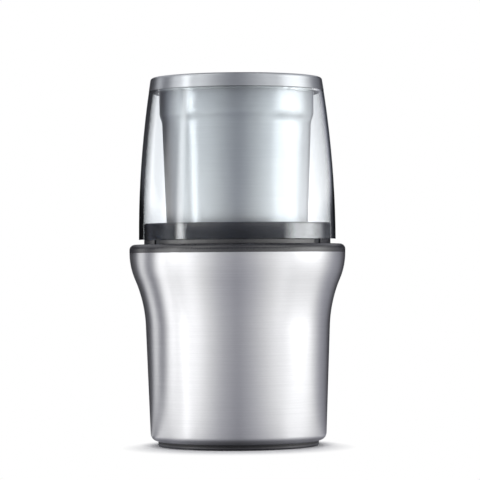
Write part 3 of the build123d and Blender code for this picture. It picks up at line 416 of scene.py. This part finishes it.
# enamelled wire wound around the axis, strand beside strand, with painted shade in the grooves between strands
# and painted streaks of shine along them
def woundWire(name, look):
    material, paint = newFinish(name)
    x, y, z = paint.split(paint.coordinates())
    pitch = look["pitch"] * mm
    across = reachOf(x, y) + z
    strand = (across * (pi / pitch)).of("SINE").of("ABSOLUTE")
    shine = paint.noise(paint.vector(x * look["shine"], y * look["shine"], across / pitch))
    shineShare = 0.5
    # painted shade and sheen: the colour is darkest between strands and brighter where the shine noise is high
    grain = paint.remap(shine * shineShare + strand * (1 - shineShare), *look["span"])
    wire = paint.node("ShaderNodeBsdfPrincipled", None, {
        "Base Color": paint.blend(grain, look["dark"], look["light"]),
        "Metallic": 1.0, "Roughness": look["roughness"], "Coat Weight": look["coat"],
        "Normal": paint.bump(strand, strength=1.0, distance=pitch * look["bulge"]),
    })
    return closeFinish(material, paint, wire)


# in mm; the lid's wall is an arc with the radius of its curve, and stands upright at its bottom
lidShape = {"radius": 52.65, "curve": 542.0, "bottom": 110.0}


# clear moulded plastic with painted shade: the outside's colour turns dark where it is seen edge on, standing
# in for the dark edges that refraction gives
def clearPlastic(name, look):
    material, paint = newFinish(name)
    place = paint.coordinates()
    swirl = paint.noise(place, look["swirl"], detail=1.0, roughness=0.4)
    x, y, z = paint.split(place)
    lean = (z - lidShape["bottom"] * mm) ** 2.0 / (2 * lidShape["curve"] * mm)
    outside = (reachOf(x, y) + lean) > look["outside"] * mm
    facing = paint.node("ShaderNodeLayerWeight", None, {"Blend": 0.5}, "Facing")
    # painted shade: how far the outside's colour turns to the dark edge colour, by how edge on it is seen
    edge = paint.remap(facing, *look["edge"]) * outside
    body = paint.node("ShaderNodeBsdfPrincipled", None, {
        "Base Color": paint.blend(edge, look["tint"], look["paintedEdgeShade"]),
        "Roughness": look["roughness"], "IOR": look["ior"], "Transmission Weight": 1.0,
        "Normal": paint.bump(swirl, look["bump"], distance=0.2 * mm),
    })
    return closeFinish(material, paint, body)


steelLook = {
    "dark": (0.565, 0.567, 0.58), "light": (0.635, 0.637, 0.65), "roughness": (0.3, 0.34),
    "lines": [(60.0, 3200.0, 0.35), (22.0, 1300.0, 0.45), (500.0, 1500.0, 0.2)], "run": 1.0,
    "smudge": 0.03, "smudgeScale": 25.0, "anisotropic": 0.8, "bump": 0.05,
}
# painted shade: the bowl's steel is the casing's steel made darker and bluer, for the shade it lies in under
# the lid
shadedBowlSteelLook = {**steelLook, "dark": (0.512, 0.537, 0.547), "light": (0.578, 0.603, 0.613)}
# painted shade: the cap's steel is the casing's steel made darker and bluer, to look as the cap does in its
# dimmer light
shadedCapSteelLook = {**steelLook, "dark": (0.45, 0.47, 0.49), "light": (0.51, 0.53, 0.55), "run": -1.0}
# the clear plastic's tint, and the painted shade colour and facing span of its dark edges
clearLook = {
    "tint": (0.95, 0.972, 0.99), "paintedEdgeShade": (0.12, 0.15, 0.2), "edge": (0.7, 0.8), "outside": 51.5,
    "roughness": 0.02, "ior": 1.5, "swirl": 22.0, "bump": 0.05,
}
wireLook = {
    "dark": (0.3, 0.09, 0.025), "light": (0.68, 0.3, 0.11), "span": (0.3, 0.8), "roughness": 0.28, "coat": 0.4,
    "pitch": 0.6, "shine": 150.0, "bulge": 0.35,
}
plasticLooks = {
    "grey_plastic": {"dark": (0.005, 0.005, 0.008), "light": (0.008, 0.008, 0.011), "grain": 2600.0,
                     "roughness": (0.24, 0.3), "bump": 0.05, "specular": 1.0},
    "slate_plastic": {"dark": (0.0005, 0.003, 0.01), "light": (0.001, 0.005, 0.013), "grain": 400.0,
                      "roughness": (0.13, 0.17), "bump": 0.002, "specular": 0.42},
    "black_plastic": {"dark": (0.018, 0.018, 0.02), "light": (0.024, 0.024, 0.026), "grain": 2200.0,
                      "roughness": (0.42, 0.55), "bump": 0.2},
    "foot_rubber": {"dark": (0.026, 0.026, 0.031), "light": (0.033, 0.033, 0.039), "grain": 1800.0,
                    "roughness": (0.3, 0.36), "bump": 0.12, "specular": 1.0},
    "white_silicone": {"dark": (0.62, 0.63, 0.64), "light": (0.7, 0.71, 0.72), "grain": 1500.0,
                       "roughness": (0.5, 0.6), "bump": 0.08},
    "red_silicone": {"dark": (0.18, 0.045, 0.035), "light": (0.22, 0.055, 0.045), "grain": 1500.0,
                     "roughness": (0.5, 0.6), "bump": 0.08},
    "carbon": {"dark": (0.03, 0.03, 0.033), "light": (0.05, 0.05, 0.055), "grain": 3500.0,
               "roughness": (0.6, 0.8), "bump": 0.3},
    "fan_plastic": {"dark": (0.06, 0.064, 0.07), "light": (0.075, 0.08, 0.086), "grain": 1800.0,
                    "roughness": (0.4, 0.5), "bump": 0.12},
    "switch_plastic": {"dark": (0.026, 0.026, 0.026), "light": (0.034, 0.034, 0.034), "grain": 2500.0,
                       "roughness": (0.4, 0.5), "bump": 0.15},
    "button_plastic": {"dark": (0.4, 0.05, 0.033), "light": (0.47, 0.065, 0.043), "grain": 1500.0,
                       "roughness": (0.3, 0.4), "bump": 0.05},
    "yellow_film": {"dark": (0.56, 0.37, 0.05), "light": (0.65, 0.44, 0.065), "grain": 500.0,
                    "roughness": (0.22, 0.3), "bump": 0.06},
    "ivory_plastic": {"dark": (0.57, 0.55, 0.47), "light": (0.64, 0.62, 0.54), "grain": 1600.0,
                      "roughness": (0.35, 0.45), "bump": 0.08},
    "lead_sleeve": {"dark": (0.085, 0.105, 0.27), "light": (0.11, 0.13, 0.32), "grain": 1200.0,
                    "roughness": (0.38, 0.48), "bump": 0.06},
}
metalLooks = {
    "blade_steel": {"dark": (0.6, 0.6, 0.61), "light": (0.7, 0.7, 0.71), "scale": (60.0, 900.0),
                    "roughness": (0.14, 0.22), "bump": 0.08},
    "screw_steel": {"dark": (0.48, 0.49, 0.52), "light": (0.58, 0.59, 0.61), "scale": (500.0, 500.0),
                    "roughness": (0.25, 0.36), "bump": 0.06},
    "shaft_steel": {"dark": (0.58, 0.58, 0.59), "light": (0.68, 0.68, 0.69), "scale": (40.0, 3000.0),
                    "roughness": (0.18, 0.26), "bump": 0.08},
    "lamination": {"dark": (0.13, 0.13, 0.145), "light": (0.3, 0.3, 0.32), "scale": (8.0, 2000.0),
                   "roughness": (0.4, 0.55), "bump": 0.5},
    "copper_bars": {"dark": (0.66, 0.32, 0.16), "light": (0.78, 0.4, 0.22), "scale": (30.0, 3000.0),
                    "roughness": (0.18, 0.28), "bump": 0.15},
    "bronze": {"dark": (0.38, 0.26, 0.11), "light": (0.52, 0.37, 0.17), "scale": (2500.0, 2500.0),
               "roughness": (0.4, 0.55), "bump": 0.3},
    "die_cast": {"dark": (0.46, 0.47, 0.48), "light": (0.6, 0.61, 0.62), "scale": (900.0, 900.0),
                 "roughness": (0.42, 0.56), "bump": 0.25},
    "brass_fitting": {"dark": (0.64, 0.46, 0.17), "light": (0.78, 0.58, 0.25), "scale": (200.0, 200.0),
                      "roughness": (0.24, 0.34), "bump": 0.06},
}
finishes = {
    "steel_casing": brushedSteel("casingSteel", steelLook),
    "steel_bowl": brushedSteel("bowlSteel", shadedBowlSteelLook),
    "steel_cap": brushedSteel("capSteel", shadedCapSteelLook),
    "clear_plastic": clearPlastic("clearPlastic", clearLook),
    "copper_winding": woundWire("windingWire", wireLook),
}
for slot, look in plasticLooks.items():
    finishes[slot] = moulded(slot, look)
for slot, look in metalLooks.items():
    finishes[slot] = metalFinish(slot, look)
for subpart in frame["record"]["subparts"]:
    cadNodes[subpart["node"]].material_slots[0].material = finishes[subpart["material_slot"]]
print("finishes made:", len(finishes))


# a Geometry Nodes tree with named inputs
def newTree(name, inputs):
    group = bpy.data.node_groups.new(name, "GeometryNodeTree")
    group.interface.new_socket("Geometry", in_out="OUTPUT", socket_type="NodeSocketGeometry")
    for label, kind in inputs.items():
        group.interface.new_socket(label, in_out="INPUT", socket_type="NodeSocket" + kind)
    tree = Graph(group)
    return group, tree, tree.node("NodeGroupInput")


def runTree(piece, group, values):
    modifier = piece.modifiers.new(group.name, "NODES")
    modifier.node_group = group
    for item in group.interface.items_tree:
        if item.in_out == "INPUT" and item.name in values:
            modifier[item.identifier] = values[item.name]
    return settle(piece)


# smooth faces, with sharp edges where the surface bends by more than the crease
def shade(tree, geometry, crease):
    smooth = tree.node("GeometryNodeSetShadeSmooth", None, {"Geometry": geometry, "Shade Smooth": True})
    bend = tree.node("GeometryNodeInputMeshEdgeAngle")
    sharp = {"Geometry": smooth, "Selection": bend > crease, "Shade Smooth": False}
    return tree.node("GeometryNodeSetShadeSmooth", {"domain": "EDGE"}, sharp)


def closeTree(tree, geometry, material):
    whole = tree.node("GeometryNodeRealizeInstances", None, {0: geometry})
    whole = tree.node("GeometryNodeSetMaterial", None, {"Geometry": whole, "Material": material})
    tree.node("NodeGroupOutput", None, {0: whole})


turnedLook = {"segments": 288, "crease": 32.0, "weld": 0.001}


# turns an outline, a chain of edges in the XZ plane, once round the Z axis
def makeTurningTree():
    group, tree, given = newTree("turned", {
        "Geometry": "Geometry", "Segments": "Int", "Crease": "Float", "Weld": "Float", "Material": "Material",
    })
    outline, segments = given.out("Geometry"), given.out("Segments")
    rows = tree.node("GeometryNodeAttributeDomainSize", {"component": "MESH"}, {0: outline})
    grid = tree.node("GeometryNodeMeshGrid", None, {"Vertices X": segments + 1, "Vertices Y": rows})
    index = tree.node("GeometryNodeInputIndex")
    column = (index / rows).of("FLOOR")
    corner = tree.node(
        "GeometryNodeSampleIndex", {"data_type": "FLOAT_VECTOR", "domain": "POINT"},
        {"Geometry": outline, "Value": tree.node("GeometryNodeInputPosition"), "Index": index % rows},
    )
    reach, _, level = tree.split(corner)
    angle = column * (2 * pi) / segments
    place = tree.vector(reach * angle.of("COSINE"), reach * angle.of("SINE"), level)
    wall = tree.node("GeometryNodeSetPosition", None, {"Geometry": grid, "Position": place})
    wall = tree.node("GeometryNodeMergeByDistance", None, {"Geometry": wall, "Distance": given.out("Weld")})
    closeTree(tree, shade(tree, wall, given.out("Crease")), given.out("Material"))
    return group


turningTree = makeTurningTree()


def turned(name, outline, finish, look=turnedLook):
    mesh = bpy.data.meshes.new(name)
    points = [(reach * mm, 0.0, level * mm) for reach, level in outline]
    mesh.from_pydata(points, [(i, i + 1) for i in range(len(points) - 1)], [])
    piece = runTree(linkObject(name, mesh), turningTree, {
        "Segments": look["segments"], "Crease": radians(look["crease"]), "Weld": look["weld"] * mm,
        "Material": finishes[finish],
    })
    return piece


# points of a round corner that turns from one direction to another about a centre
def roundCorner(centre, radius, start, end, steps):
    angles = [radians(start + (end - start) * i / steps) for i in range(steps + 1)]
    return [(centre[0] + radius * cos(a), centre[1] + radius * sin(a)) for a in angles]


# the wall that casing and bowl share: it leans out a little, bends out at the waist and ends upright
def flaredWall(look, inset=0.0):
    lean, steps = radians(look["lean"]), look["steps"]
    low, high = look["lowBend"], look["highBend"]
    steepest = acos((low * cos(lean) + high - (look["topRadius"] - look["waistRadius"])) / (low + high))
    waist = look["top"] - low * (sin(steepest) - sin(lean)) - high * sin(steepest)
    lowCentre = (look["waistRadius"] + low * cos(lean), waist - low * sin(lean))
    highCentre = (look["topRadius"] - high, look["top"])
    lowPart = [lean + (steepest - lean) * i / steps for i in range(steps + 1)]
    highPart = [steepest * (1 - i / steps) for i in range(1, steps + 1)]
    low, high = low + inset, high - inset
    return [(lowCentre[0] - low * cos(a), lowCentre[1] + low * sin(a)) for a in lowPart] + [
        (highCentre[0] + high * cos(a), highCentre[1] - high * sin(a)) for a in highPart
    ]


# where the leaning wall meets a rounded floor: the arc from the floor up to the wall
def wallFoot(waistPoint, level, lean, corner, steps):
    reach = waistPoint[0] - (waistPoint[1] - level) * tan(radians(lean))
    shift = corner * tan(radians(45 - lean / 2))
    return roundCorner((reach - shift, level + corner), corner, -90, -lean, steps)


# a closed outline: the hole in the floor, the outside up to the lip, and the inside down again
def wallOutline(look):
    wall, rim = look["wall"], look["rim"]
    under, over, lip = look["bottom"], look["bottom"] + wall, look["rimTop"] - rim
    footSteps, heelSteps, lipSteps = look["cornerSteps"]
    outside, inside = flaredWall(look), flaredWall(look, wall)
    foot = wallFoot(outside[0], under, look["lean"], look["corner"], footSteps)
    heel = wallFoot(inside[0], over, look["lean"], look["corner"] - wall, heelSteps)
    lipOut = roundCorner((outside[-1][0] - rim, lip), rim, 0, 90, lipSteps)
    lipIn = roundCorner((inside[-1][0] + rim, lip), rim, 90, 180, lipSteps)
    start, end = (look["hole"], under), (look["hole"], over)
    return [start] + foot + outside + lipOut + lipIn + inside[::-1] + heel[::-1] + [end, start]


# in mm; archInside and archOutside are how far from the axis the arch's cutter starts and ends
casingLook = {
    "topRadius": 57.7, "waistRadius": 49.2, "top": 103.0, "rimTop": 103.0, "lean": 2.2, "lowBend": 70.0,
    "highBend": 36.0, "wall": 0.8, "corner": 4.0, "bottom": 2.8, "hole": 42.0, "rim": 0.25,
    "steps": 26, "cornerSteps": (8, 6, 4),
    "archWidth": 9.0, "archHeight": 7.2, "archSteps": 24, "archInside": 30.0, "archOutside": 60.0,
}


# the casing has an arch at the back for the cord
def makeCasing(look):
    casing = turned("casing", wallOutline(look), "steel_casing")
    cutter = linkObject("archCutter", bpy.data.meshes.new("archCutter"))
    half, below = look["archWidth"] / 2, -1.0
    arch = roundCorner((0, look["archHeight"] - half), half, 0, 180, look["archSteps"])
    arch = [(half, below)] + arch + [(-half, below)]
    points = [(x * mm, y * mm, z * mm) for y in (look["archInside"], look["archOutside"]) for x, z in arch]
    count = len(arch)
    faces = [tuple(range(count)), tuple(reversed(range(count, 2 * count)))]
    faces += [(i, count + i, count + (i + 1) % count, (i + 1) % count) for i in range(count)]
    cutter.data.from_pydata(points, [], faces)
    cut = casing.modifiers.new("arch", "BOOLEAN")
    cut.operation, cut.solver, cut.object = "DIFFERENCE", "MANIFOLD", cutter
    settle(casing)
    bpy.data.objects.remove(cutter)
    casing.data.set_sharp_from_angle(angle=radians(turnedLook["crease"]))
    standFor(casing, "root", "housing_shell")


makeCasing(casingLook)
print("casing made")

bowlLook = {
    "topRadius": 41.2, "waistRadius": 39.75, "top": 178.0, "rimTop": 190.6, "lean": 2.2, "lowBend": 10.0,
    "highBend": 10.0, "wall": 0.8, "corner": 6.0, "bottom": 112.5, "hole": 6.62, "rim": 0.38,
    "steps": 10, "cornerSteps": (8, 6, 4),
}
standFor(turned("bowlWall", wallOutline(bowlLook), "steel_bowl"), "bowl_assembly", "bowl")
print("bowl made")

capLook = {
    "bottom": 189.1, "top": 196.3, "wall": 0.8, "round": 1.6, "rim": 0.2,
    "sideSteps": 6, "outerSteps": 8, "innerSteps": 5, "topSteps": 12,
}


# how far from the axis the lid's wall is at a level, or a surface that is inset from it
def lidReach(level, inset=0.0):
    radius, curve = lidShape["radius"], lidShape["curve"]
    return radius - curve + ((curve - inset) ** 2 - (level - lidShape["bottom"]) ** 2) ** 0.5


# an open outline: from the axis along the underside to the edge, and over the outside back to the axis
def capOutline(look):
    wall, bend, rim, steps = look["wall"], look["round"], look["rim"], look["topSteps"]
    low, high = look["bottom"], look["top"]
    inTop, inBend = high - wall, bend - wall
    rise, rows = high - bend - low - rim, look["sideSteps"]
    levels = [low + rim + rise * i / rows for i in range(rows + 1)]
    outer = [(lidReach(level), level) for level in levels]
    inner = [(lidReach(level, wall), level) for level in reversed(levels[:-1])]
    centre = (lidReach(high - bend) - bend, high - bend)
    shoulder = roundCorner(centre, bend, 0, 90, look["outerSteps"])[1:]
    centre = (lidReach(inTop - inBend, wall) - inBend, inTop - inBend)
    inShoulder = roundCorner(centre, inBend, 90, 0, look["innerSteps"])
    top = [(shoulder[-1][0] * (1 - i / steps), high) for i in range(1, steps + 1)]
    ceiling = [(inShoulder[0][0] * i / steps, inTop) for i in range(steps)]
    edge = [(lidReach(low, wall) + rim, low), (lidReach(low) - rim, low)]
    return ceiling + inShoulder + inner + edge + outer + shoulder + top


standFor(turned("lidCap", capOutline(capLook), "steel_cap"), "lid", "lid_cap")
print("cap made")


# a coil spring on each point of the object's mesh, with its end turns lying flat
def makeSpringTree(stepsPerTurn=32, sides=12, crease=50):
    group, tree, given = newTree("spring", {
        "Geometry": "Geometry", "Radius": "Float", "Wire": "Float", "Length": "Float", "Turns": "Float",
        "Flat Turns": "Float", "Tilt": "Float", "Turn Between": "Float", "Material": "Material",
    })
    wire, flat, turns = given.out("Wire"), given.out("Flat Turns"), given.out("Turns")
    whole = turns + flat * 2.0
    line = tree.node("GeometryNodeCurvePrimitiveLine", None, {"End": (0.0, 0.0, 1.0)})
    line = tree.node(
        "GeometryNodeResampleCurve", {"mode": "COUNT"}, {"Curve": line, "Count": whole * stepsPerTurn + 1.0},
    )
    done = tree.node("GeometryNodeSplineParameter") * whole
    rising = (done - flat).of("MAXIMUM", 0.0).of("MINIMUM", turns)
    closed = wire * 2.0
    pitch = (given.out("Length") - closed - closed * flat * 2.0) / turns
    level = (done - rising) * closed + rising * pitch + wire
    angle, radius = done * (2 * pi), given.out("Radius")
    place = tree.vector(radius * angle.of("COSINE"), radius * angle.of("SINE"), level)
    helix = tree.node("GeometryNodeSetPosition", None, {"Geometry": line, "Position": place})
    profile = tree.node("GeometryNodeCurvePrimitiveCircle", None, {"Resolution": sides, "Radius": wire})
    coil = tree.node(
        "GeometryNodeCurveToMesh", None, {"Curve": helix, "Profile Curve": profile, "Fill Caps": True},
    )
    turn = tree.node("GeometryNodeInputIndex") * given.out("Turn Between")
    coils = tree.node("GeometryNodeInstanceOnPoints", None, {
        "Points": given.out("Geometry"), "Instance": shade(tree, coil, radians(crease)),
        "Rotation": tree.vector(0.0, given.out("Tilt"), turn),
    })
    closeTree(tree, coils, given.out("Material"))
    return group


springTree = makeSpringTree()
# lengths are in mm and angles in degrees; a spring that is pressed shortens by the travel, down to its anchor
springLooks = {
    "lidSprings": {
        "node": "lid_springs", "body": "inner_lid", "radius": 3.88, "wire": 0.28, "length": 5.4, "turns": 3.0,
        "flatTurns": 0.5, "tilt": 0.0, "turnBetween": 120.0,
        "places": [(x, y, 188.25) for x, y in roundCorner((0, 0), 22.0, 90, 330, 2)],
        "joint": "lid_press", "travel": 2.2, "anchor": 188.2,
    },
    "plungerSpring": {
        "node": "plunger_spring", "body": "root", "radius": 2.0, "wire": 0.28, "length": 15.04, "turns": 6.0,
        "flatTurns": 0.75, "tilt": 0.0, "turnBetween": 0.0, "places": [(2.156, 47.876, 83.108)],
        "joint": "switch_press", "travel": 2.2, "anchor": 83.054,
    },
    "brushSprings": {
        "node": "brush_springs", "body": "root", "radius": 2.0, "wire": 0.28, "length": 3.84, "turns": 3.0,
        "flatTurns": 0.5, "tilt": 90.0, "turnBetween": 180.0,
        "places": [(22.105, 0, 33.25), (-22.105, 0, 33.25)],
    },
}


def makeSpring(name, look):
    mesh = bpy.data.meshes.new(name)
    mesh.from_pydata([Vector(place) * mm for place in look["places"]], [], [])
    spring = runTree(linkObject(name, mesh), springTree, {
        "Radius": look["radius"] * mm, "Wire": look["wire"] * mm, "Length": look["length"] * mm,
        "Turns": look["turns"], "Flat Turns": look["flatTurns"], "Tilt": radians(look["tilt"]),
        "Turn Between": radians(look["turnBetween"]), "Material": finishes["shaft_steel"],
    })
    standFor(spring, look["body"], look["node"])
    if "joint" in look:
        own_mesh(spring)


for name, look in springLooks.items():
    makeSpring(name, look)
print("springs made")
